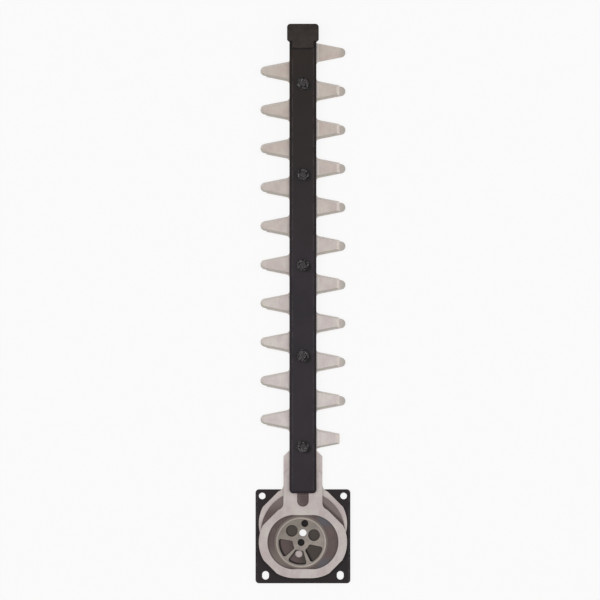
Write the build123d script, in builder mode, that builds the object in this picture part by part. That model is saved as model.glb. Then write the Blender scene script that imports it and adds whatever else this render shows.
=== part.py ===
"""Double-sided hedge trimmer blade: two toothed blades driven by a double eccentric.

Millimetres and degrees. The origin is the drive shaft's axis on the underside of the support plate,
+Y points along the blades to the tip and +Z points up, through the guide bar and its nuts.
"""
import os
from math import cos, radians, sin, tan

from build123d import *

# Cutting teeth, measured from the yoke centre of a blade
tooth_pitch = 35.0
teeth_per_side = 10
first_short_tooth = 93.5
first_long_tooth = first_short_tooth + tooth_pitch / 2
tooth_root_half = 8.75
tooth_side_angle = 11.2
long_tooth_reach = 38.4
short_tooth_reach = 33.2
short_tooth_corner = 1.0
short_end_bevel = 2.7
tooth_root_fillet = 3.5
edge_land = 0.8
edge_bevel_angle = 45.0

# Blade stamping
blade_thickness = 2.5
spine_half = 12.0
spine_end_margin = 0.6
neck_half = 17.6
neck_top = 61.0
neck_fillet = 6.5
yoke_wall = 8.2
yoke_flat_angle = 45.0
yoke_front_flat_depth = 1.5
yoke_rear_flat_depth = 1.1
yoke_relief = 0.6
relief_margin = 1.3

# Eccentric drive
crank_throw = tooth_pitch / 4
rest_angle = 11.0
rest_play = 0.25
eccentric_radius = 22.75
yoke_lift_clearance = 1.65
yoke_side_clearance = 0.25
shaft_hole = 6.4
drive_hole = 6.4
separator_radius = 38.0
separator_thickness = 1.0
separator_hole = 6.5
separator_hole_offset = 19.4
round_window_radius = 5.3
round_window_offset = 10.2
sector_inner = 7.4
sector_outer = 20.2
sector_corner = 1.9
sector_span = 52.0
sector_step = 63.0

# Support plate, with its square base and its arm
plate_thickness = 4.0
base_width = 85.8
base_front = 39.3
base_rear = 45.7
base_corner = 3.2
front_hole = 6.0
front_hole_side_margin = 6.05
front_hole_front_margin = 6.0
rear_slot_width = 6.2
rear_slot_length = 7.8
rear_slot_side_margin = 9.1
rear_slot_rear_margin = 7.15

# Guide bar and the arm below it
bar_width = 24.4
bar_thickness = 4.0
bar_rear = 35.9
bar_tip = 455.0
bar_rear_corner = 3.4
bar_slope_width = 2.4
bar_slope_drop = 1.0

# Clamping bolts, bushes and nuts
bolt_count = 5
first_bolt = 78.2
bolt_spacing = 82.0
bolt_diameter = 6.0
bolt_head = 12.0
bolt_above_nut = 0.8
bolt_end_chamfer = 0.6
bolt_hole = 6.4
bush_diameter = 10.0
bush_bore = 6.2
bush_side_clearance = 0.25
bush_end_clearance = 0.4
nut_flats = 10.0
nut_height = 5.0
nut_bore = 6.2
nut_top_chamfer = 0.7
nut_turns = (8, 41, 24, 52, 13)
rear_pin_y = 46.5
rear_pin_spigot = 6.0
rear_pin_bar_depth = 2.5
spigot_clearance = 0.05

# Tip guard
guard_width = 28.6
guard_rear = 444.4
guard_front = 460.3
guard_roof = 2.6
guard_front_corner = 3.0
guard_rear_chamfer = 1.6
guard_edge_round = 0.9
guard_nose_length = 5.4
guard_nose_drop = 1.3
tongue_width = 19.4
tongue_rear = 438.6
tongue_bow = 0.7
guard_fit = 0.1
guard_screw_diameter = 4.0
guard_screw_head = 7.6
guard_screw_hole = 4.3
guard_screw_depth = 4.0

# Running clearance between faces that slide
running_gap = 0.1

# How near a corner or an edge must be to the place where it is looked for
match_tolerance = 0.01

# Levels of the stack, from the underside up
lower_blade_bottom = plate_thickness + running_gap
mating_level = lower_blade_bottom + blade_thickness + running_gap / 2
upper_blade_top = mating_level + running_gap / 2 + blade_thickness
bar_bottom = upper_blade_top + running_gap
bar_top = bar_bottom + bar_thickness
separator_bottom = mating_level - separator_thickness / 2
separator_top = mating_level + separator_thickness / 2

# Places that follow from the drive
rest_offset = crank_throw * cos(radians(rest_angle)) - rest_play
yoke_half_height = eccentric_radius + yoke_lift_clearance
yoke_half_width = eccentric_radius + crank_throw + yoke_side_clearance
yoke_end_centre = yoke_half_width - yoke_half_height
ring_radius = yoke_half_height + yoke_wall
relief_top = separator_radius + crank_throw + relief_margin
short_rows = [first_short_tooth + tooth_pitch * i for i in range(teeth_per_side)]
long_rows = [first_long_tooth + tooth_pitch * i for i in range(teeth_per_side)]
spine_end = long_rows[-1] + tooth_root_half + spine_end_margin
bolt_rows = [first_bolt + bolt_spacing * i for i in range(bolt_count)]
slot_width = bush_diameter + 2 * bush_side_clearance
slot_length = slot_width + 2 * (crank_throw + bush_end_clearance)
tooth_root_x = spine_half / 2
relief_span = 4 * ring_radius
front_hole_spacing = base_width - 2 * front_hole_side_margin
front_hole_y = base_front - front_hole_front_margin
rear_slot_spacing = base_width - 2 * rear_slot_side_margin
rear_slot_y = rear_slot_rear_margin - base_rear
bar_length = bar_tip - bar_rear
guard_top = bar_top + guard_fit + guard_roof
guard_nose_rear = guard_front - guard_nose_length
guard_screw_y = (guard_rear + bar_tip) / 2


def tooth_half_width(x):
    """Half the width of a tooth at the distance x from the blade's centre line."""
    return tooth_root_half - (x - spine_half) * tan(radians(tooth_side_angle))


def long_tooth():
    """Long tooth with a round tip, on the left of the blade, rooted inside the spine."""
    slope = radians(tooth_side_angle)
    sharp = tooth_half_width(long_tooth_reach) * cos(slope)
    tip_radius = sharp / (1 - sin(slope))
    tip_centre = long_tooth_reach - tip_radius
    touch_x = tip_centre + tip_radius * sin(slope)
    touch_y = tip_radius * cos(slope)
    root_y = tooth_half_width(tooth_root_x)
    with BuildSketch(mode=Mode.PRIVATE) as outline:
        with BuildLine():
            Line((-tooth_root_x, root_y), (-touch_x, touch_y))
            ThreePointArc((-touch_x, touch_y), (-long_tooth_reach, 0), (-touch_x, -touch_y))
            Line((-touch_x, -touch_y), (-tooth_root_x, -root_y))
            Line((-tooth_root_x, -root_y), (-tooth_root_x, root_y))
        make_face()
    return outline.sketch


def short_tooth():
    """Short tooth with a blunt end, on the right of the blade, rooted inside the spine."""
    root_y = tooth_half_width(tooth_root_x)
    end_y = tooth_half_width(short_tooth_reach)
    with BuildSketch(mode=Mode.PRIVATE) as outline:
        with BuildLine():
            Polyline(
                (tooth_root_x, -root_y),
                (short_tooth_reach, -end_y),
                (short_tooth_reach, end_y),
                (tooth_root_x, root_y),
                close=True,
            )
        make_face()
        fillet(outline.vertices().group_by(Axis.X)[-1], short_tooth_corner)
    return outline.sketch


def blade_body():
    """Yoke ring, neck and spine of a blade, without the teeth and the openings."""
    with BuildSketch(mode=Mode.PRIVATE) as outline:
        SlotCenterToCenter(2 * yoke_end_centre, 2 * ring_radius)
        for side in (1, -1):
            for end, depth in ((1, yoke_front_flat_depth), (-1, yoke_rear_flat_depth)):
                centre = ring_radius - depth + ring_radius / 2
                x = side * (yoke_end_centre + centre * cos(radians(yoke_flat_angle)))
                y = end * centre * sin(radians(yoke_flat_angle))
                turn = side * end * yoke_flat_angle
                with Locations((x, y)):
                    Rectangle(ring_radius, 2 * ring_radius, rotation=turn, mode=Mode.SUBTRACT)
        Rectangle(2 * neck_half, neck_top, align=(Align.CENTER, Align.MIN))
        corners = [
            v
            for v in outline.vertices()
            if abs(abs(v.X) - neck_half) < match_tolerance and v.Y < neck_top - match_tolerance
        ]
        fillet(corners, neck_fillet)
        shoulder_top = neck_top + neck_half - spine_half
        with BuildLine():
            Polyline(
                (-neck_half, neck_top),
                (-spine_half, shoulder_top),
                (-spine_half, spine_end),
                (spine_half, spine_end),
                (spine_half, shoulder_top),
                (neck_half, neck_top),
                close=True,
            )
        make_face()
    return outline.sketch


# Blade stamping, its mating face on z = 0 and its yoke centred on the origin
with BuildPart() as blade_blank:
    with BuildSketch() as cutting_outline:
        add(blade_body())
        for row in short_rows:
            add(short_tooth().moved(Location((0, row, 0))))
        for row in long_rows:
            add(long_tooth().moved(Location((0, row, 0))))
        roots = [
            v
            for v in cutting_outline.vertices()
            if abs(abs(v.X) - spine_half) < match_tolerance
            and short_rows[0] - tooth_pitch / 2 < v.Y < long_rows[-1]
        ]
        fillet(roots, tooth_root_fillet)
    extrude(amount=edge_land)
    with BuildSketch(Plane.XY.offset(edge_land)):
        add(blade_body())
    extrude(amount=blade_thickness - edge_land)
    for rows, tooth in ((short_rows, short_tooth()), (long_rows, long_tooth())):
        for row in rows:
            with BuildSketch(Plane.XY.offset(edge_land)):
                add(tooth.moved(Location((0, row, 0))))
            extrude(amount=blade_thickness - edge_land, taper=edge_bevel_angle)
    with BuildSketch(Plane.XZ.offset(-short_rows[0] + tooth_pitch / 2)):
        with BuildLine():
            Polyline(
                (short_tooth_reach, edge_land),
                (short_tooth_reach, blade_thickness),
                (short_tooth_reach - short_end_bevel, blade_thickness),
                close=True,
            )
        make_face()
    extrude(amount=-tooth_pitch * teeth_per_side, mode=Mode.SUBTRACT)
    with BuildSketch():
        SlotCenterToCenter(2 * yoke_end_centre, 2 * yoke_half_height)
        with Locations(*[(0, y) for y in [rear_pin_y] + bolt_rows]):
            SlotOverall(slot_length, slot_width, rotation=90)
    extrude(amount=blade_thickness, mode=Mode.SUBTRACT)
    with BuildSketch():
        with Locations((0, relief_top)):
            Rectangle(relief_span, relief_span, align=(Align.CENTER, Align.MAX))
    extrude(amount=yoke_relief, mode=Mode.SUBTRACT)

# Upper blade, long teeth on the left, near the low end of its stroke
with BuildPart() as upper_blade:
    add(blade_blank.part.moved(Location((0, -rest_offset, mating_level + running_gap / 2))))
upper_blade.part.label = "upper_blade"

# Lower blade, the same stamping turned over about its length, near the high end of its stroke
with BuildPart() as lower_blade:
    add(blade_blank.part.moved(Location((0, rest_offset, mating_level - running_gap / 2), (0, 180, 0))))
lower_blade.part.label = "lower_blade"


def crank_plane(level, turn):
    """Plane on the shaft axis, its X along the line of the three holes at the given turn."""
    angle = radians(90 - rest_angle + turn)
    return Plane(origin=(0, 0, level), x_dir=(cos(angle), sin(angle), 0), z_dir=(0, 0, 1))


def eccentric_outline():
    """Eccentric disc on a crank plane: its centre lies one throw behind the shaft."""
    with BuildSketch(mode=Mode.PRIVATE) as outline:
        with Locations((-crank_throw, 0)):
            Circle(eccentric_radius)
        for turn in (180 - sector_step, 180, 180 + sector_step):
            start = turn - sector_span / 2
            with BuildSketch(mode=Mode.PRIVATE) as window:
                with BuildLine():
                    inner = CenterArc((0, 0), sector_inner, start, sector_span)
                    outer = CenterArc((0, 0), sector_outer, start, sector_span)
                    Line(inner @ 0, outer @ 0)
                    Line(inner @ 1, outer @ 1)
                make_face()
                fillet(window.vertices(), sector_corner)
            add(window.sketch.moved(Location((-crank_throw, 0, 0))), mode=Mode.SUBTRACT)
        with Locations((0, round_window_offset), (0, -round_window_offset)):
            Circle(round_window_radius, mode=Mode.SUBTRACT)
        Circle(shaft_hole / 2, mode=Mode.SUBTRACT)
        with Locations((crank_throw, 0), (-crank_throw, 0)):
            Circle(drive_hole / 2, mode=Mode.SUBTRACT)
    return outline.sketch


# Upper eccentric, flush with the top of the upper blade
with BuildPart() as upper_eccentric:
    with BuildSketch(crank_plane(separator_top, 0)):
        add(eccentric_outline())
    extrude(amount=upper_blade_top - separator_top)
upper_eccentric.part.label = "upper_eccentric"

# Lower eccentric, half a turn round
with BuildPart() as lower_eccentric:
    with BuildSketch(crank_plane(lower_blade_bottom, 180)):
        add(eccentric_outline())
    extrude(amount=separator_bottom - lower_blade_bottom)
lower_eccentric.part.label = "lower_eccentric"

# Separator disc between the two yokes, in the relief of their mating faces
with BuildPart() as separator_disc:
    with BuildSketch(crank_plane(separator_bottom, 0)):
        Circle(separator_radius)
        Circle(shaft_hole / 2, mode=Mode.SUBTRACT)
        with Locations((crank_throw, 0), (-crank_throw, 0)):
            Circle(drive_hole / 2, mode=Mode.SUBTRACT)
        with Locations((separator_hole_offset, 0), (-separator_hole_offset, 0)):
            Circle(separator_hole / 2, mode=Mode.SUBTRACT)
    extrude(amount=separator_thickness)
separator_disc.part.label = "separator_disc"

# Support plate, the square base and the arm in one stamping
with BuildPart() as support_plate:
    with BuildSketch():
        with Locations((0, base_front)):
            RectangleRounded(base_width, base_front + base_rear, base_corner, align=(Align.CENTER, Align.MAX))
        with Locations((0, base_front - base_corner)):
            Rectangle(bar_width, bar_tip - base_front + base_corner, align=(Align.CENTER, Align.MIN))
        Circle(shaft_hole / 2, mode=Mode.SUBTRACT)
        with Locations((-front_hole_spacing / 2, front_hole_y), (front_hole_spacing / 2, front_hole_y)):
            Circle(front_hole / 2, mode=Mode.SUBTRACT)
        with Locations((-rear_slot_spacing / 2, rear_slot_y), (rear_slot_spacing / 2, rear_slot_y)):
            SlotOverall(rear_slot_length, rear_slot_width, rotation=90, mode=Mode.SUBTRACT)
        with Locations((0, rear_pin_y)):
            Circle(rear_pin_spigot / 2 + spigot_clearance, mode=Mode.SUBTRACT)
    extrude(amount=plate_thickness)
    with Locations(Plane((0, 0, 0), x_dir=(1, 0, 0), z_dir=(0, 0, -1))):
        with Locations(*[(0, -y) for y in bolt_rows]):
            CounterSinkHole(bolt_hole / 2, bolt_head / 2 + spigot_clearance, plate_thickness)
        with Locations((0, -guard_screw_y)):
            CounterSinkHole(guard_screw_hole / 2, guard_screw_head / 2 + spigot_clearance, plate_thickness)
support_plate.part.label = "support_plate"

# Guide bar on top of the blades
with BuildPart() as guide_bar:
    with BuildSketch(Plane.XY.offset(bar_bottom)) as bar_outline:
        with Locations((0, bar_rear)):
            Rectangle(bar_width, bar_length, align=(Align.CENTER, Align.MIN))
        fillet(bar_outline.vertices().group_by(Axis.Y)[0], bar_rear_corner)
    extrude(amount=bar_thickness)
    bar_face = guide_bar.faces().sort_by(Axis.Z)[-1]
    chamfer(bar_face.edges(), bar_slope_width, bar_slope_drop, reference=bar_face)
    with BuildSketch(Plane.XY.offset(bar_bottom)):
        with Locations(*[(0, y) for y in bolt_rows]):
            Circle(bolt_hole / 2)
    extrude(amount=bar_thickness, mode=Mode.SUBTRACT)
    with BuildSketch(Plane.XY.offset(bar_bottom)):
        with Locations((0, rear_pin_y)):
            Circle(rear_pin_spigot / 2 + spigot_clearance)
    extrude(amount=rear_pin_bar_depth + spigot_clearance, mode=Mode.SUBTRACT)
guide_bar.part.label = "guide_bar"

# Guide bushes, which keep the bar and the arm apart and carry the blades' slots
guide_bushes = []
for number, row in enumerate(bolt_rows, start=1):
    with BuildPart() as guide_bush:
        with BuildSketch(Plane.XY.offset(plate_thickness)):
            with Locations((0, row)):
                Circle(bush_diameter / 2)
                Circle(bush_bore / 2, mode=Mode.SUBTRACT)
        extrude(amount=bar_bottom - plate_thickness)
    guide_bush.part.label = f"guide_bush_{number}"
    guide_bushes.append(guide_bush.part)

# Rear guide pin, shouldered between the plate and the bar, in the necks' slots
with BuildPart() as rear_guide_pin:
    with BuildSketch():
        with Locations((0, rear_pin_y)):
            Circle(rear_pin_spigot / 2)
    extrude(amount=bar_bottom + rear_pin_bar_depth)
    with BuildSketch(Plane.XY.offset(plate_thickness)):
        with Locations((0, rear_pin_y)):
            Circle(bush_diameter / 2)
    extrude(amount=bar_bottom - plate_thickness)
rear_guide_pin.part.label = "rear_guide_pin"

# Clamping bolts, countersunk flush with the underside
with BuildPart() as blade_bolts:
    bolt_length = bar_top + nut_height + bolt_above_nut
    for row in bolt_rows:
        with BuildSketch(Plane.YZ):
            with BuildLine():
                Polyline(
                    (row, 0),
                    (row + bolt_head / 2, 0),
                    (row + bolt_diameter / 2, (bolt_head - bolt_diameter) / 2),
                    (row + bolt_diameter / 2, bolt_length - bolt_end_chamfer),
                    (row + bolt_diameter / 2 - bolt_end_chamfer, bolt_length),
                    (row, bolt_length),
                    close=True,
                )
            make_face()
        revolve(axis=Axis((0, row, 0), (0, 0, 1)))
blade_bolts.part.label = "blade_bolts"

# Lock nuts, each at the turn where it was tightened
with BuildPart() as lock_nuts:
    crown_radius = nut_flats / 2 / cos(radians(30))
    for row, turn in zip(bolt_rows, nut_turns):
        with BuildSketch(Plane.XY.offset(bar_top)):
            with Locations((0, row)):
                RegularPolygon(crown_radius, 6, rotation=turn)
                Circle(nut_bore / 2, mode=Mode.SUBTRACT)
        extrude(amount=nut_height)
        with BuildSketch(Plane.YZ):
            with BuildLine():
                Polyline(
                    (row + nut_flats / 2, bar_top + nut_height),
                    (row + crown_radius, bar_top + nut_height - nut_top_chamfer),
                    (row + 2 * crown_radius, bar_top + nut_height - nut_top_chamfer),
                    (row + 2 * crown_radius, bar_top + nut_height),
                    close=True,
                )
            make_face()
        revolve(axis=Axis((0, row, 0), (0, 0, 1)), mode=Mode.SUBTRACT)
lock_nuts.part.label = "lock_nuts"

# Tip guard, a cap over the ends of both bars with a tongue that lies on the guide bar
with BuildPart() as tip_guard:
    with BuildSketch() as guard_outline:
        with Locations((0, guard_front)):
            Rectangle(guard_width, guard_front - guard_rear, align=(Align.CENTER, Align.MAX))
        fillet(guard_outline.vertices().group_by(Axis.Y)[-1], guard_front_corner)
        chamfer(guard_outline.vertices().group_by(Axis.Y)[0], guard_rear_chamfer)
    extrude(amount=guard_top)
    with BuildSketch(Plane.XY.offset(bar_top + guard_fit)):
        with BuildLine():
            tongue_front = guard_rear + guard_rear_chamfer
            Polyline(
                (-tongue_width / 2, tongue_rear),
                (-tongue_width / 2, tongue_front),
                (tongue_width / 2, tongue_front),
                (tongue_width / 2, tongue_rear),
            )
            ThreePointArc(
                (tongue_width / 2, tongue_rear),
                (0, tongue_rear - tongue_bow),
                (-tongue_width / 2, tongue_rear),
            )
        make_face()
    extrude(amount=guard_roof)
    with BuildSketch(Plane.YZ.offset(-guard_width / 2)):
        with BuildLine():
            Polyline(
                (guard_front, guard_top - guard_nose_drop),
                (guard_front, guard_top),
                (guard_nose_rear, guard_top),
                close=True,
            )
        make_face()
    extrude(amount=guard_width, mode=Mode.SUBTRACT)
    roof = tip_guard.faces().group_by(Axis.Z)[-1].edges()
    rims = [edge for edge in roof if edge.center().Y < guard_nose_rear - match_tolerance]
    fillet(rims, guard_edge_round)
    pocket_width = bar_width + 2 * guard_fit
    pocket_length = bar_tip + guard_fit - guard_rear
    for bottom, top in ((0, plate_thickness + guard_fit), (bar_bottom - guard_fit, bar_top + guard_fit)):
        with BuildSketch(Plane.XY.offset(bottom)):
            with Locations((0, guard_rear)):
                Rectangle(pocket_width, pocket_length, align=(Align.CENTER, Align.MIN))
        extrude(amount=top - bottom, mode=Mode.SUBTRACT)
    with BuildSketch(Plane.XY.offset(plate_thickness)):
        with Locations((0, guard_screw_y)):
            Circle(guard_screw_diameter / 2 + spigot_clearance)
    extrude(amount=guard_screw_depth + spigot_clearance, mode=Mode.SUBTRACT)
tip_guard.part.label = "tip_guard"

# Screw that holds the tip guard from below, flush with the underside
with BuildPart() as tip_guard_screw:
    with BuildSketch(Plane.YZ):
        with BuildLine():
            shank_x = guard_screw_y + guard_screw_diameter / 2
            Polyline(
                (guard_screw_y, 0),
                (guard_screw_y + guard_screw_head / 2, 0),
                (shank_x, (guard_screw_head - guard_screw_diameter) / 2),
                (shank_x, plate_thickness + guard_screw_depth),
                (guard_screw_y, plate_thickness + guard_screw_depth),
                close=True,
            )
        make_face()
    revolve(axis=Axis((0, guard_screw_y, 0), (0, 0, 1)))
tip_guard_screw.part.label = "tip_guard_screw"

# One file for each piece
os.makedirs("parts", exist_ok=True)
export_step(support_plate.part, "parts/support_plate.step")
export_step(guide_bar.part, "parts/guide_bar.step")
export_step(upper_blade.part, "parts/upper_blade.step")
export_step(lower_blade.part, "parts/lower_blade.step")
export_step(upper_eccentric.part, "parts/upper_eccentric.step")
export_step(separator_disc.part, "parts/separator_disc.step")
export_step(lower_eccentric.part, "parts/lower_eccentric.step")
for bush in guide_bushes:
    export_step(bush, f"parts/{bush.label}.step")
export_step(rear_guide_pin.part, "parts/rear_guide_pin.step")
export_step(blade_bolts.part, "parts/blade_bolts.step")
export_step(lock_nuts.part, "parts/lock_nuts.step")
export_step(tip_guard.part, "parts/tip_guard.step")
export_step(tip_guard_screw.part, "parts/tip_guard_screw.step")
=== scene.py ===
from math import cos, pi, radians, sin, tan, tau

import bmesh
import bpy
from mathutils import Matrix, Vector


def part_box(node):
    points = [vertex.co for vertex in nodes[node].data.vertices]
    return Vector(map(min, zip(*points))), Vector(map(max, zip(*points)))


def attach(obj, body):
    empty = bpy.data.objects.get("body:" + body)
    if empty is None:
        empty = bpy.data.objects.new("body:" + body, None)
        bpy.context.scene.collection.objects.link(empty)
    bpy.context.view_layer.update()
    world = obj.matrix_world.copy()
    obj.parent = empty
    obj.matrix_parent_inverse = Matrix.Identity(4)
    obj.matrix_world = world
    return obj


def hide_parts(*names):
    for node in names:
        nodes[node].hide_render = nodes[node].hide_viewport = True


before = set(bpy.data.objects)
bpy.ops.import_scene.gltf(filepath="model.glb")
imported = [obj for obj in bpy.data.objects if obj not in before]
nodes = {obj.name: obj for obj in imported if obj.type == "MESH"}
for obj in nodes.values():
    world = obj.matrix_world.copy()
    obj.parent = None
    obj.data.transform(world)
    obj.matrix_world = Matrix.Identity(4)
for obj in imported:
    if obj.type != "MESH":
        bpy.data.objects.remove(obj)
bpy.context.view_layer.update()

# All lengths are in metres, in the part's own frame: +Y along the blades to the tip, +Z up.
MM = 0.001

# View of the photograph: straight down, image up along +Y
VIEW_CENTRE = Vector((-2.65 * MM, 210.65 * MM, 0))
VIEW_WIDTH = 542.6 * MM
VIEW_LEVEL = 9 * MM
CAMERA_HEIGHT = 8.0
SENSOR_WIDTH = 36.0

# Staging: the floor's half width and how far it lies under the part, and the lamps' places, sizes and watts
FLOOR_HALF = 6.0
FLOOR_DROP = 0.02 * MM
FLOOR_WHITE = 0.86
WORLD_STRENGTH = 0.34
LAMP_AIM = Vector((0, 0.2, 0))
LAMPS = (
    ("overhead", Vector((0.0, 0.2, 9.0)), 6.7, 280),
    ("left", Vector((-1.7, 0.1, 2.6)), 0.9, 13),
    ("right", Vector((1.8, 0.4, 1.9)), 1.6, 9),
)

# Spans along Y over which the blades and the paint change their tone
YOKE_TONE = (30 * MM, 85 * MM)
BLADE_TONE = (100 * MM, 440 * MM)
PAINT_TONE = (180 * MM, 450 * MM)
TEETH_START = (70 * MM, 75 * MM)

# Drive, as in the CAD model: the upper disc's centre and the windows between its spokes
DISC_CENTRE = Vector((-1.67 * MM, -8.59 * MM, 0))
DISC_RADIUS = 22.75 * MM
WINDOW_OUTER = 20.2 * MM
WINDOW_INNER = 7.4 * MM
WINDOW_TURN = radians(-11)
WINDOW_STEP = radians(63)
WINDOW_HALF = radians(26)
ROUND_WINDOW = Vector((10.01 * MM, -1.95 * MM, 0))
ROUND_RADIUS = 5.3 * MM
RIM_LAND = 20.9 * MM
# Shift that puts the painted shadow in the windows on their left and lower sides
WINDOW_SHADOW_SHIFT = Vector((-1.2 * MM, -0.8 * MM, 0))

# Window of each yoke: the radius and place of its round ends, and its shift along Y from the shaft at rest
YOKE_RADIUS = 24.4 * MM
YOKE_END = 7.35 * MM
YOKE_SHIFT = 8.34 * MM

# Outer edge of the upper yoke on the right, as a line across the separator: its direction and distance
YOKE_EDGE = Vector((0.67, 0.743, 0))
YOKE_EDGE_REACH = 29.5 * MM

# Rear edge of the tip guard's tongue on the bar
GUARD_REAR = 438.6 * MM

# Painted shadow next to each nut, placed from the nut's axis
NUT_SHADOW_SHIFT = Vector((3.4 * MM, -2.0 * MM, 0))
NUT_SHADOW_RADIUS = 3.6 * MM
NUT_SHADOW_FADE = 1.6 * MM

# Fasteners that get their threads, sockets and chamfers here
NUT_FLATS = 10.0 * MM
NUT_BORE = 6.0 * MM
NUT_HEX_SHARE = 0.66
NUT_CROWN_SHARE = 0.95
NUT_MOUTH = 0.45 * MM
NUT_COLLAR_STEP = 0.65 * MM
NUT_LIP = 0.6 * MM
NUT_SEAT_GAP = 0.5 * MM
NUT_SEAT_DEPTH = 1.3 * MM
BOLT_DIAMETER = 6.0 * MM
BOLT_PITCH = 1.0 * MM
BOLT_SOCKET = 4.0 * MM
SCREW_DIAMETER = 4.0 * MM
SCREW_PITCH = 0.7 * MM
SCREW_SOCKET = 2.5 * MM
SOCKET_DEPTH_SHARE = 0.4
SOCKET_MOUTH_SHARE = 0.62
HEAD_CHAMFER = 0.15 * MM
THREAD_DEPTH_SHARE = 0.488
THREAD_TAPER_SHARE = 0.8
THREAD_ROWS = 8
CROWN_ANGLE = radians(28)
HEX_STEPS = 72
ROUND_STEPS = 48
SMOOTH_ANGLE = radians(32)

# How far each nut is turned on its bolt, in degrees, from the rearmost to the tip
NUT_TURNS = (8, 41, 24, 52, 13)


def srgb(red, green, blue):
    """A colour given as screen values from 0 to 255, in the linear values that the shader takes."""
    def linear(value):
        share = value / 255
        return share / 12.92 if share <= 0.04045 else ((share + 0.055) / 1.055) ** 2.4
    return linear(red), linear(green), linear(blue), 1.0


# Shader maths


class Wire:
    """A socket of a finish's node tree; its operators add Math nodes."""

    def __init__(self, finish, socket):
        self.finish = finish
        self.socket = socket

    def maths(self, operation, *values, clamp=False):
        sockets = dict(enumerate((self, *values)))
        return self.finish.node("ShaderNodeMath", {"operation": operation, "use_clamp": clamp}, sockets)

    def __add__(self, other):
        return self.maths("ADD", other)

    __radd__ = __add__

    def __mul__(self, other):
        return self.maths("MULTIPLY", other)

    __rmul__ = __mul__

    def __sub__(self, other):
        return self.maths("SUBTRACT", other)

    def __rsub__(self, other):
        return (self * -1).maths("ADD", other)

    def __pow__(self, other):
        return self.maths("POWER", other)

    def __abs__(self):
        return self.maths("ABSOLUTE")

    def over(self, low, high):
        """0 at low and below, 1 at high and above, smooth between."""
        return self.finish.node(
            "ShaderNodeMapRange",
            {"interpolation_type": "SMOOTHSTEP"},
            {"Value": self, "From Min": low, "From Max": high},
        )


class Finish:
    """A material and the nodes behind its shader."""

    def __init__(self, name):
        self.material = bpy.data.materials.new(name)
        self.material.use_nodes = True
        self.tree = self.material.node_tree
        self.shader = self.tree.nodes["Principled BSDF"]

    def feed(self, socket, value):
        if isinstance(value, Wire):
            self.tree.links.new(value.socket, socket)
        else:
            socket.default_value = value

    def node(self, kind, settings=None, sockets=None, out=0):
        """Adds a node: its settings first, then the values or links of its sockets."""
        node = self.tree.nodes.new(kind)
        for name, value in (settings or {}).items():
            setattr(node, name, value)
        for key, value in (sockets or {}).items():
            self.feed(node.inputs[key], value)
        return Wire(self, node.outputs[out])

    def set(self, **values):
        """Feeds the shader's own sockets; an underscore stands for a space."""
        for name, value in values.items():
            self.feed(self.shader.inputs[name.replace("_", " ")], value)

    def place(self, stretch=(1, 1, 1)):
        """The piece's own coordinates in metres, stretched along its axes."""
        spot = self.node("ShaderNodeTexCoord", out="Object")
        return self.node("ShaderNodeMapping", None, {"Vector": spot, "Scale": stretch})

    def axis(self, name):
        spot = self.node("ShaderNodeTexCoord", out="Object")
        return self.node("ShaderNodeSeparateXYZ", None, {"Vector": spot}, out=name)

    def length(self, vector):
        return self.node("ShaderNodeVectorMath", {"operation": "LENGTH"}, {0: vector}, out="Value")

    def shifted(self, vector, offset):
        return self.node("ShaderNodeVectorMath", {"operation": "ADD"}, {0: vector, 1: offset})

    def facing(self, name="Z"):
        """One part of the surface's normal."""
        normal = self.node("ShaderNodeNewGeometry", out="Normal")
        return self.node("ShaderNodeSeparateXYZ", None, {"Vector": normal}, out=name)

    def grain(self, scale, detail, roughness, stretch=(1, 1, 1)):
        """Noise from 0 to 1; scale is in cells for each metre."""
        spot = self.place(stretch)
        sockets = {"Vector": spot, "Scale": scale, "Detail": detail, "Roughness": roughness}
        return self.node("ShaderNodeTexNoise", None, sockets, out="Fac")

    def blend(self, share, first, second):
        """A colour that goes from the first to the second with the share."""
        settings = {"data_type": "RGBA", "clamp_factor": True}
        return self.node("ShaderNodeMix", settings, {0: share, 6: first, 7: second}, out=2)

    def rim(self, radius):
        """1 along the piece's edges and 0 away from them."""
        plain = self.node("ShaderNodeNewGeometry", out="Normal")
        soft = self.node("ShaderNodeBevel", {"samples": 6}, {"Radius": radius})
        settings = {"operation": "DOT_PRODUCT"}
        match = self.node("ShaderNodeVectorMath", settings, {0: plain, 1: soft}, out="Value")
        return (1 - match).over(0.02, 0.25)

    def relief(self, height, distance, strength, radius=None):
        """A bump on the surface, its edges rounded by the radius if there is one."""
        sockets = {"Height": height, "Distance": distance, "Strength": strength}
        if radius:
            sockets["Normal"] = self.node("ShaderNodeBevel", {"samples": 6}, {"Radius": radius})
        return self.node("ShaderNodeBump", None, sockets)


# Finishes


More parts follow.
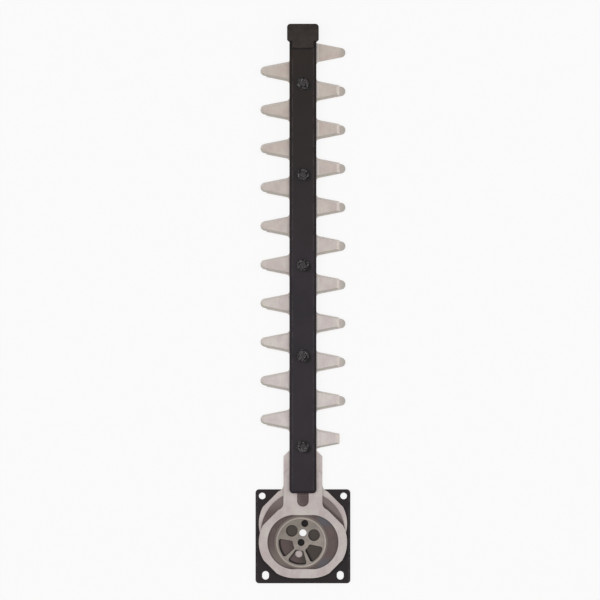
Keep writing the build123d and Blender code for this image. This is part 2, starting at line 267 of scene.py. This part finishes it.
def blade_finish(name, tip_shade, window_shift):
    """Ground blade steel: fine lines along the blade, a warmer tone towards the tip, painted light on the
    bevels.

    Bevels facing +Y are painted lighter and those facing -Y darker; the end bevels and the right-hand tooth
    roots take a painted highlight, and the tips a painted shade by tip_shade. The edge around the yoke's
    window is painted darker, a painted shade along its inner contour.
    """
    f = Finish(name)
    across, along = f.axis("X"), f.axis("Y")
    lines = f.grain(2600, 4, 0.6, (1, 0.03, 1))
    blotches = f.grain(85, 4, 0.6)
    specks = f.grain(900, 2, 0.5).over(0.60, 0.78)
    patch = blotches.over(0.3, 0.7)
    yoke_colour = f.blend(patch, srgb(182, 168, 168), srgb(198, 190, 185))
    near_colour = f.blend(patch, srgb(200, 187, 187), srgb(215, 207, 202))
    far_colour = f.blend(patch, srgb(186, 171, 163), srgb(200, 189, 178))
    toothed_colour = f.blend(along.over(*BLADE_TONE), near_colour, far_colour)
    flat_colour = f.blend(along.over(*YOKE_TONE), yoke_colour, toothed_colour)
    streaked = f.blend(lines.over(0.35, 0.8) * 0.3, flat_colour, srgb(172, 161, 156))
    pitted = f.blend(specks * 0.22, streaked, srgb(140, 128, 122))
    toothed = along.over(*TEETH_START)
    # Painted highlight: a lighter strip along the right-hand tooth roots next to the bar
    root = (1 - across.over(14.2 * MM, 14.9 * MM)) * across.over(11 * MM, 12 * MM) * toothed
    root_lit = f.blend(root * 0.6, pitted, srgb(222, 216, 211))
    # Painted shade on the tips of the teeth, by tip_shade
    tip = across.over(31 * MM, 37 * MM) * toothed * tip_shade
    darkened = f.blend(tip, root_lit, srgb(166, 161, 154))
    slope = 1 - abs(f.facing()).over(0.80, 0.97)
    # Painted light and shade: bevels facing +Y are lighter, those facing -Y darker
    bevel_light_and_shade = f.blend(f.facing("Y").over(-0.5, 0.5), srgb(206, 202, 192), srgb(236, 228, 221))
    colour = f.blend(slope * 0.8, darkened, bevel_light_and_shade)
    # Painted highlight on the end bevels that face +X, weaker as tip_shade grows
    end_bevel = slope * f.facing("X").over(0.3, 0.5)
    end_bevel_lit = f.blend(end_bevel * (1 - tip_shade), colour, srgb(240, 228, 220))
    edge = f.rim(0.5 * MM)
    # Painted shade: at the tips the edges turn darker too
    edge_colour = f.blend(tip, srgb(224, 219, 214), srgb(112, 108, 104))
    edged = f.blend(edge * (0.3 + tip * 0.3), end_bevel_lit, edge_colour)
    # Painted shade along the inner contour of the yoke's window
    past_end = (abs(across) - YOKE_END).maths("MAXIMUM", 0)
    from_middle = along - window_shift
    past_window = (past_end * past_end + from_middle * from_middle) ** 0.5 - YOKE_RADIUS
    window_edge_shade = (1 - past_window.over(0.15 * MM, 0.55 * MM)) * abs(across).over(5 * MM, 12 * MM)
    f.set(
        Base_Color=f.blend(window_edge_shade * 0.9, edged, srgb(16, 12, 11)),
        Metallic=0.3,
        Roughness=0.42 + lines * 0.16 + blotches * 0.08,
        Normal=f.relief(lines * 0.6 + blotches * 0.4, 0.06 * MM, 0.5, 0.15 * MM),
    )
    return f.material


def paint_finish(name, rear, tip, grain_share, wear, crease, nut_shadow=0.0):
    """Black powder coat: fine orange peel, dust in the grain, rubbed edges, a painted shadow at the guard.

    The paint takes a painted highlight along two creases at this distance from the middle, and a painted
    shade outside the right one.
    The last argument is how much painted shadow the paint takes next to the nuts.
    """
    f = Finish(name)
    along = f.axis("Y")
    across = f.axis("X")
    outward = abs(across) - crease
    peel = f.grain(1500, 2, 0.5)
    cloud = f.grain(30, 4, 0.6)
    dust = f.grain(3200, 2, 0.6).over(0.58, 0.75) * grain_share
    coat = f.blend(along.over(*PAINT_TONE), rear, tip)
    # Painted shadow on the paint next to each nut, towards its lower right
    if nut_shadow:
        spots = nut_spots()
        pitch = spots[1].y - spots[0].y
        from_nut = (along - spots[0].y).maths("WRAP", pitch / 2, -pitch / 2) - NUT_SHADOW_SHIFT.y
        beside_nut = across - NUT_SHADOW_SHIFT.x
        from_nut_shadow = (from_nut * from_nut + beside_nut * beside_nut) ** 0.5
        in_nut_shadow = 1 - from_nut_shadow.over(NUT_SHADOW_RADIUS, NUT_SHADOW_RADIUS + NUT_SHADOW_FADE)
        coat = f.blend(in_nut_shadow * nut_shadow, coat, srgb(7, 5, 6))
    # Painted shadow on the bar just behind the guard's tongue, running on under the guard
    guard_shadowed = f.blend(along.over(GUARD_REAR - 2.2 * MM, GUARD_REAR - 0.9 * MM) * 0.9, coat, srgb(5, 4, 4))
    clouded = f.blend(cloud.over(0.35, 0.75) * 0.35, guard_shadowed, srgb(16, 14, 14))
    # Painted shade on the slope outside the right crease
    right_slope_shaded = f.blend((across - crease).over(0.2 * MM, 1.2 * MM) * 0.4, clouded, srgb(20, 16, 16))
    # Painted highlight: a patchy lighter line along both creases
    crease_highlight = (1 - abs(outward).over(0.2 * MM, 0.7 * MM)) * f.grain(160, 3, 0.6).over(0.35, 0.6)
    crease_lit = f.blend(crease_highlight * 0.3, right_slope_shaded, srgb(92, 86, 86))
    dusty = f.blend(dust, crease_lit, srgb(82, 76, 74))
    rub = f.rim(0.5 * MM) * f.grain(260, 3, 0.6).over(0.42, 0.62)
    f.set(
        Base_Color=f.blend(rub * wear, dusty, srgb(104, 97, 93)),
        Metallic=0.0,
        Roughness=0.50 + peel * 0.12 + dust * 0.2,
        Specular_IOR_Level=0.25,
        Normal=f.relief(peel, 0.05 * MM, 0.6, 0.3 * MM),
    )
    return f.material


def sintered_finish(name, centre):
    """Pressed and sintered steel: even fine pores, an oily olive grey, a brighter land around the rim."""
    f = Finish(name)
    reach = f.length(f.shifted(f.place((1, 1, 0)), -centre))
    pores = f.grain(3800, 2, 0.5)
    cloud = f.grain(120, 4, 0.6)
    oil = f.grain(45, 3, 0.5).over(0.45, 0.7)
    base = f.blend(cloud.over(0.3, 0.7), srgb(129, 120, 114), srgb(149, 140, 133))
    # Darker and more olive towards the upper left of the disc
    upper_left_share = (f.axis("Y") - centre.y - f.axis("X") * 0.6).over(-2 * MM, 22 * MM)
    darkened = f.blend(oil * 0.3 + upper_left_share * 0.45, base, srgb(104, 98, 86))
    land = f.blend(reach.over(RIM_LAND, RIM_LAND + 0.3 * MM) * 0.55, darkened, srgb(172, 162, 155))
    groove = f.blend((1 - abs(reach - RIM_LAND).over(0.1 * MM, 0.5 * MM)) * 0.45, land, srgb(84, 74, 68))
    dotted = f.blend(pores.over(0.58, 0.72) * 0.4, groove, srgb(92, 84, 78))
    side = 1 - abs(f.facing()).over(0.5, 0.9)
    shaded = f.blend(side * 0.45, dotted, srgb(70, 62, 58))
    f.set(
        Base_Color=f.blend(f.rim(0.4 * MM) * 0.35, shaded, srgb(188, 180, 172)),
        Metallic=0.45,
        Roughness=0.48 - oil * 0.10 + pores * 0.08,
        Normal=f.relief(pores, 0.05 * MM, 0.6, 0.2 * MM),
    )
    return f.material


def separator_finish():
    """Thin rolled steel browned by grease, with rubbed rings, painted shadow, painted light and a painted
    reflection.
    """
    f = Finish("separator_steel")
    spot = f.place((1, 1, 0))
    across, along = f.axis("X"), f.axis("Y")
    wobble = f.grain(90, 3, 0.5) * 0.002
    rings = ((f.length(spot) + wobble) * 4200).maths("SINE")
    grease = f.grain(70, 4, 0.6)
    base = f.blend(grease.over(0.3, 0.7), srgb(67, 51, 51), srgb(90, 73, 71))
    rubbed = f.blend(rings.over(0.2, 1.0) * 0.3, base, srgb(122, 112, 108))
    # Painted reflection: a bluish tone on the separator at the right-hand ends of the yoke's window
    ends = abs(along - DISC_CENTRE.y).over(11 * MM, 19 * MM) * across.over(10 * MM, 17 * MM)
    in_yoke = (1 - along.over(14 * MM, 17 * MM)) * (1 - across.over(26 * MM, 28 * MM))
    bluish_reflection = f.blend(ends * in_yoke * 0.7, rubbed, srgb(80, 83, 91))
    # Painted light: lighter on the left, towards the tip
    rear_left = along.over(15 * MM, 30 * MM) * (1 - across.over(-9 * MM, 0))
    left_tipward_lit = f.blend(rear_left * 0.5, bluish_reflection, srgb(130, 118, 114))
    # Lighter and greyer on the left, away from the tip
    left_rearward = (1 - along.over(-24 * MM, -8 * MM)) * (1 - across.over(-20 * MM, -8 * MM))
    left_rearward_lighter = f.blend(left_rearward * 0.35, left_tipward_lit, srgb(140, 132, 120))
    # Beyond the upper yoke's outer edge on the right the separator is lighter, with a painted shadow in a
    # band along that edge
    past_yoke = across * YOKE_EDGE.x + along * YOKE_EDGE.y - YOKE_EDGE_REACH
    behind_yoke = across.over(14 * MM, 18 * MM) * past_yoke.over(-1.5 * MM, 0)
    beyond_yoke_lighter = f.blend(behind_yoke * 0.45, left_rearward_lighter, srgb(136, 124, 120))
    yoke_edge_shadowed = f.blend(behind_yoke * (1 - past_yoke.over(1.7 * MM, 4.1 * MM)) * 0.75, beyond_yoke_lighter, srgb(44, 34, 33))
    # A lighter ring just outside the upper disc's edge
    reach = f.length(f.shifted(spot, -DISC_CENTRE)) - DISC_RADIUS
    disc_edge_ring = f.blend((1 - reach.over(0.9 * MM, 1.7 * MM)) * 0.8, yoke_edge_shadowed, srgb(122, 112, 104))
    # Under the disc, seen through its windows, the separator is darker with grease and painted shade, less
    # so towards the left away from the tip
    inside = 1 - reach.over(-1.2 * MM, -0.2 * MM)
    behind = (across + along * 0.5).over(-22 * MM, -10 * MM)
    floor_colour = f.blend(behind, srgb(74, 57, 57), srgb(45, 36, 31))
    under_disc_darkened = f.blend(inside * 0.9, disc_edge_ring, floor_colour)
    # Painted shadow along the left and lower sides of the disc's windows and around the round windows'
    # edges
    shaded = f.shifted(spot, WINDOW_SHADOW_SHIFT - DISC_CENTRE)
    radius = f.length(shaded)
    x_part = f.node("ShaderNodeSeparateXYZ", None, {"Vector": shaded}, out="X")
    y_part = f.node("ShaderNodeSeparateXYZ", None, {"Vector": shaded}, out="Y")
    turn = x_part.maths("ARCTAN2", y_part * -1) - WINDOW_TURN
    in_sectors = 1 - abs(turn).over(1.48 * WINDOW_STEP, 1.52 * WINDOW_STEP)
    from_middle = turn.maths("PINGPONG", WINDOW_STEP / 2)
    outer = radius.over(WINDOW_OUTER - 1.0 * MM, WINDOW_OUTER)
    beyond_hub = radius.over(WINDOW_INNER, WINDOW_INNER + 1 * MM)
    side = from_middle.over(WINDOW_HALF - 0.08, WINDOW_HALF) * beyond_hub
    left_reach = f.length(f.shifted(spot, WINDOW_SHADOW_SHIFT * 0.5 + ROUND_WINDOW))
    right_reach = f.length(f.shifted(spot, WINDOW_SHADOW_SHIFT * 0.5 - ROUND_WINDOW))
    nearest = left_reach.maths("MINIMUM", right_reach)
    round_edge = nearest.over(ROUND_RADIUS - 0.9 * MM, ROUND_RADIUS + 0.2 * MM)
    corners = outer.maths("MAXIMUM", side) * in_sectors + round_edge * (1 - in_sectors) * 0.7
    window_shadow = corners * inside
    f.set(
        Base_Color=f.blend(window_shadow * 0.85, under_disc_darkened, srgb(22, 18, 17)),
        Metallic=0.4,
        Roughness=0.40 + grease * 0.18 + window_shadow * 0.2,
        Normal=f.relief(rings * 0.5 + grease, 0.03 * MM, 0.4),
    )
    return f.material


def fastener_finish():
    """Black oxide on steel, worn on the crests and corners, with painted glints there."""
    f = Finish("black_fastener")
    cloud = f.grain(420, 4, 0.6)
    # Worn edges painted much lighter as patchy glints, a painted highlight
    rub = f.rim(0.6 * MM) * f.grain(300, 2, 0.5).over(0.44, 0.54)
    base = f.blend(cloud.over(0.3, 0.7), srgb(32, 28, 30), srgb(50, 45, 47))
    f.set(
        Base_Color=f.blend(rub * 0.9, base, srgb(226, 220, 222)),
        Metallic=0.5,
        Roughness=0.36 + cloud * 0.16,
        Normal=f.relief(cloud, 0.03 * MM, 0.4, 0.15 * MM),
    )
    return f.material


def turned_finish():
    """Turned and hardened steel of the bushes and the rear pin."""
    f = Finish("turned_steel")
    rings = f.grain(9000, 3, 0.6, (0.02, 0.02, 1))
    stain = f.grain(300, 3, 0.5)
    base = f.blend(stain.over(0.35, 0.7), srgb(176, 170, 165), srgb(150, 143, 137))
    f.set(
        Base_Color=f.blend(rings.over(0.4, 0.8) * 0.3, base, srgb(196, 190, 186)),
        Metallic=0.8,
        Roughness=0.30 + rings * 0.15,
        Normal=f.relief(rings, 0.02 * MM, 0.4),
    )
    return f.material


def moulded_finish():
    """Moulded black plastic with a fine spark-eroded grain and scuffed corners."""
    f = Finish("black_plastic")
    skin = f.grain(2400, 3, 0.6)
    cloud = f.grain(140, 3, 0.5)
    scuff = f.rim(0.6 * MM) * f.grain(700, 4, 0.65).over(0.45, 0.65)
    base = f.blend(cloud.over(0.3, 0.7), srgb(42, 35, 32), srgb(53, 44, 41))
    f.set(
        Base_Color=f.blend(scuff * 0.4, base, srgb(112, 104, 98)),
        Metallic=0.0,
        Roughness=0.52 + skin * 0.15,
        Specular_IOR_Level=0.25,
        Normal=f.relief(skin, 0.06 * MM, 0.7),
    )
    return f.material


# Fasteners


def nut_spots():
    """Axes of the bolts and their nuts."""
    low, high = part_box("blade_bolts")
    head = high.x - low.x
    first = low.y + head / 2
    last = high.y - head / 2
    count = len(NUT_TURNS)
    return [Vector((0, first + (last - first) * i / (count - 1), 0)) for i in range(count)]


def new_piece(name, mesh_maker, material, body):
    """A piece from a bmesh, smooth but for its sharp edges, that rides on a body."""
    shape = bmesh.new()
    mesh_maker(shape)
    bmesh.ops.recalc_face_normals(shape, faces=shape.faces)
    mesh = bpy.data.meshes.new(name)
    shape.to_mesh(mesh)
    shape.free()
    for face in mesh.polygons:
        face.use_smooth = True
    mesh.set_sharp_from_angle(angle=SMOOTH_ANGLE)
    mesh.materials.append(material)
    piece = bpy.data.objects.new(name, mesh)
    bpy.context.scene.collection.objects.link(piece)
    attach(piece, body)
    return piece


def bridge(shape, low, high):
    """Faces between two loops with as many points."""
    for step in range(len(low)):
        after = (step + 1) % len(low)
        shape.faces.new((low[step], low[after], high[after], high[step]))


def add_rings(shape, rings, centre, turn=0):
    """Skins closed rings of (radius by angle, height by angle), one after the other, about the centre."""
    loops = []
    for ring in rings:
        loop = []
        for step, (radius, height) in enumerate(ring):
            angle = turn + tau * step / len(ring)
            spot = (centre.x + radius * cos(angle), centre.y + radius * sin(angle), height)
            loop.append(shape.verts.new(spot))
        loops.append(loop)
    for low, high in zip(loops, loops[1:]):
        bridge(shape, low, high)
    return loops


def hex_ring(flats, steps):
    """Distances from the axis to a hexagon's sides, its first corner at the first step."""
    sectors = [tau * step / steps % (pi / 3) - pi / 6 for step in range(steps)]
    return [flats / 2 / cos(sector) for sector in sectors]


def even_ring(radius, height, steps):
    return [(radius, height)] * steps


def nut_shape(centre, bottom, height, turn):
    """Hexagon lock nut: chamfered below and above, then a collar that holds a ring sunk below its lip."""
    edge = hex_ring(NUT_FLATS, HEX_STEPS)
    crown = NUT_CROWN_SHARE * NUT_FLATS / 2
    drop = [(radius - crown) * tan(CROWN_ANGLE) for radius in edge]
    mouth = NUT_BORE / 2 + NUT_MOUTH
    top = bottom + height
    hex_top = bottom + NUT_HEX_SHARE * height
    collar = NUT_FLATS / 2 - NUT_COLLAR_STEP
    seat = NUT_BORE / 2 + NUT_SEAT_GAP
    rings = [
        even_ring(NUT_BORE / 2, bottom + NUT_MOUTH, HEX_STEPS),
        even_ring(mouth, bottom, HEX_STEPS),
        even_ring(crown, bottom, HEX_STEPS),
        [(radius, bottom + fall) for radius, fall in zip(edge, drop)],
        [(radius, hex_top - fall) for radius, fall in zip(edge, drop)],
        even_ring(crown, hex_top, HEX_STEPS),
        even_ring(collar, hex_top + 0.1 * MM, HEX_STEPS),
        even_ring(collar - 0.05 * MM, top - 0.7 * MM, HEX_STEPS),
        even_ring(collar - 0.25 * MM, top - 0.2 * MM, HEX_STEPS),
        even_ring(collar - NUT_LIP, top, HEX_STEPS),
        even_ring(seat, top - 0.2 * MM, HEX_STEPS),
        even_ring(seat, top - NUT_SEAT_DEPTH, HEX_STEPS),
        even_ring(NUT_BORE / 2, top - NUT_SEAT_DEPTH - 0.1 * MM, HEX_STEPS),
    ]

    def make(shape):
        loops = add_rings(shape, rings, centre, turn)
        bridge(shape, loops[-1], loops[0])

    return make


def countersunk_shape(centre, head, diameter, pitch, socket, plain_to, end):
    """Countersunk screw, head down and flush at z = 0, with a hexagon socket and a cut thread."""
    radius = diameter / 2
    root = radius - THREAD_DEPTH_SHARE * pitch
    cone_top = (head - diameter) / 2
    socket_depth = SOCKET_DEPTH_SHARE * diameter
    steps = ROUND_STEPS
    angles = [tau * step / steps for step in range(steps)]
    socket_ring = hex_ring(socket, steps)
    rings = [
        [(reach, socket_depth) for reach in socket_ring],
        [(reach, HEAD_CHAMFER) for reach in socket_ring],
        even_ring(socket * SOCKET_MOUTH_SHARE, 0, steps),
        even_ring(head / 2 - 0.2 * MM, 0, steps),
        even_ring(head / 2, HEAD_CHAMFER, steps),
        even_ring(radius, cone_top, steps),
        even_ring(radius, plain_to, steps),
    ]
    rows = int((end - plain_to) / (pitch / THREAD_ROWS))
    for row in range(1, rows + 1):
        height = plain_to + row * pitch / THREAD_ROWS
        fade = min(1, (height - plain_to) / pitch)
        taper = min(1, (end - height) / (THREAD_TAPER_SHARE * pitch))
        ring = []
        for angle in angles:
            phase = (height / pitch - angle / tau) % 1
            crest = abs(2 * phase - 1)
            depth = (radius - root) * max(fade * crest, 1 - taper)
            ring.append((radius - depth, height))
        rings.append(ring)
    rings.append(even_ring(root * 0.9, end, steps))

    def make(shape):
        loops = add_rings(shape, rings, centre)
        shape.faces.new(loops[0])
        shape.faces.new(loops[-1])

    return make


def joined(makers):
    """One mesh from several shapes."""
    def make(shape):
        for maker in makers:
            maker(shape)
    return make


# Staging


def build_floor():
    """White floor under the part; it looks white and still takes the part's shadow."""
    f = Finish("floor_white")
    f.set(Base_Color=(FLOOR_WHITE, FLOOR_WHITE, FLOOR_WHITE, 1), Roughness=0.9, Specular_IOR_Level=0.1)
    seen = f.node("ShaderNodeLightPath", out="Is Camera Ray")
    for ray in ("Is Glossy Ray", "Is Transmission Ray"):
        seen = seen.maths("MAXIMUM", f.node("ShaderNodeLightPath", out=ray))
    glow = f.node("ShaderNodeEmission", None, {"Color": (1, 1, 1, 1), "Strength": 1.0})
    surface = Wire(f, f.shader.outputs[0])
    mixed = f.node("ShaderNodeMixShader", None, {0: seen * FLOOR_WHITE, 1: surface, 2: glow})
    f.feed(f.tree.nodes["Material Output"].inputs["Surface"], mixed)
    mesh = bpy.data.meshes.new("floor")
    signs = ((-1, -1), (1, -1), (1, 1), (-1, 1))
    corners = [(FLOOR_HALF * x, FLOOR_HALF * y, 0) for x, y in signs]
    mesh.from_pydata(corners, [], [(0, 1, 2, 3)])
    mesh.materials.append(f.material)
    floor = bpy.data.objects.new("floor", mesh)
    floor.location.z = -FLOOR_DROP
    bpy.context.scene.collection.objects.link(floor)


def add_softbox(name, spot, size, power):
    """A square soft lamp, aimed at the part."""
    light = bpy.data.lights.new(name, "AREA")
    light.shape = "SQUARE"
    light.size = size
    light.energy = power
    lamp = bpy.data.objects.new(name, light)
    lamp.location = spot
    lamp.rotation_euler = (LAMP_AIM - spot).to_track_quat("-Z", "Y").to_euler()
    bpy.context.scene.collection.objects.link(lamp)


def light_scene():
    """Even soft light from above, with a little more from both sides."""
    world = bpy.data.worlds.new("studio")
    bpy.context.scene.world = world
    world.use_nodes = True
    background = world.node_tree.nodes["Background"]
    background.inputs["Color"].default_value = (1, 1, 1, 1)
    background.inputs["Strength"].default_value = WORLD_STRENGTH
    for lamp in LAMPS:
        add_softbox(*lamp)


def place_camera():
    """Camera high above the part, with a long lens, looking straight down."""
    camera = bpy.data.cameras.new("photo_view")
    camera.sensor_width = SENSOR_WIDTH
    camera.lens = SENSOR_WIDTH * (CAMERA_HEIGHT - VIEW_LEVEL) / VIEW_WIDTH
    camera.clip_end = 50
    eye = bpy.data.objects.new("photo_view", camera)
    eye.location = VIEW_CENTRE + Vector((0, 0, CAMERA_HEIGHT))
    bpy.context.scene.collection.objects.link(eye)
    bpy.context.scene.camera = eye


# The part


def dress_nodes():
    """Gives every CAD node its finish."""
    plate_paint = paint_finish("plate_paint", srgb(34, 24, 27), srgb(36, 30, 31), 0.22, 0.3, 41.5 * MM)
    bar_paint = paint_finish("bar_paint", srgb(43, 36, 43), srgb(35, 24, 18), 0.08, 0.35, 9.5 * MM, 0.85)
    turned = turned_finish()
    finishes = {
        "support_plate": plate_paint,
        "guide_bar": bar_paint,
        "upper_blade": blade_finish("upper_blade_steel", 0.0, -YOKE_SHIFT),
        "lower_blade": blade_finish("lower_blade_steel", 0.75, YOKE_SHIFT),
        "upper_eccentric": sintered_finish("upper_eccentric_steel", DISC_CENTRE),
        "lower_eccentric": sintered_finish("lower_eccentric_steel", -DISC_CENTRE),
        "separator_disc": separator_finish(),
        "tip_guard": moulded_finish(),
    }
    for name, node in nodes.items():
        node.data.materials.clear()
        node.data.materials.append(finishes.get(name, turned))


def build_fasteners():
    """Nuts, bolts and the tip guard's screw with their threads, in the places of their plain solids."""
    black = fastener_finish()
    low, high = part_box("lock_nuts")
    bolt_low, bolt_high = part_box("blade_bolts")
    head = bolt_high.x - bolt_low.x
    nut_makers = []
    bolt_makers = []
    for spot, turn in zip(nut_spots(), NUT_TURNS):
        nut_makers.append(nut_shape(spot, low.z, high.z - low.z, radians(turn)))
        thread_start = low.z - 5 * MM
        bolt_makers.append(
            countersunk_shape(spot, head, BOLT_DIAMETER, BOLT_PITCH, BOLT_SOCKET, thread_start, bolt_high.z)
        )
    nuts = new_piece("threaded_lock_nuts", joined(nut_makers), black, "frame")
    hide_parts("lock_nuts")
    bolts = new_piece("threaded_blade_bolts", joined(bolt_makers), black, "frame")
    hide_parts("blade_bolts")
    low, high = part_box("tip_guard_screw")
    head = high.x - low.x
    spot = Vector((0, (low.y + high.y) / 2, 0))
    maker = countersunk_shape(spot, head, SCREW_DIAMETER, SCREW_PITCH, SCREW_SOCKET, head / 2, high.z)
    screw = new_piece("threaded_guard_screw", maker, black, "frame")
    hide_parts("tip_guard_screw")


bpy.context.scene.view_settings.view_transform = "Standard"
dress_nodes()
build_fasteners()
build_floor()
light_scene()
place_camera()

bpy.context.view_layer.update()
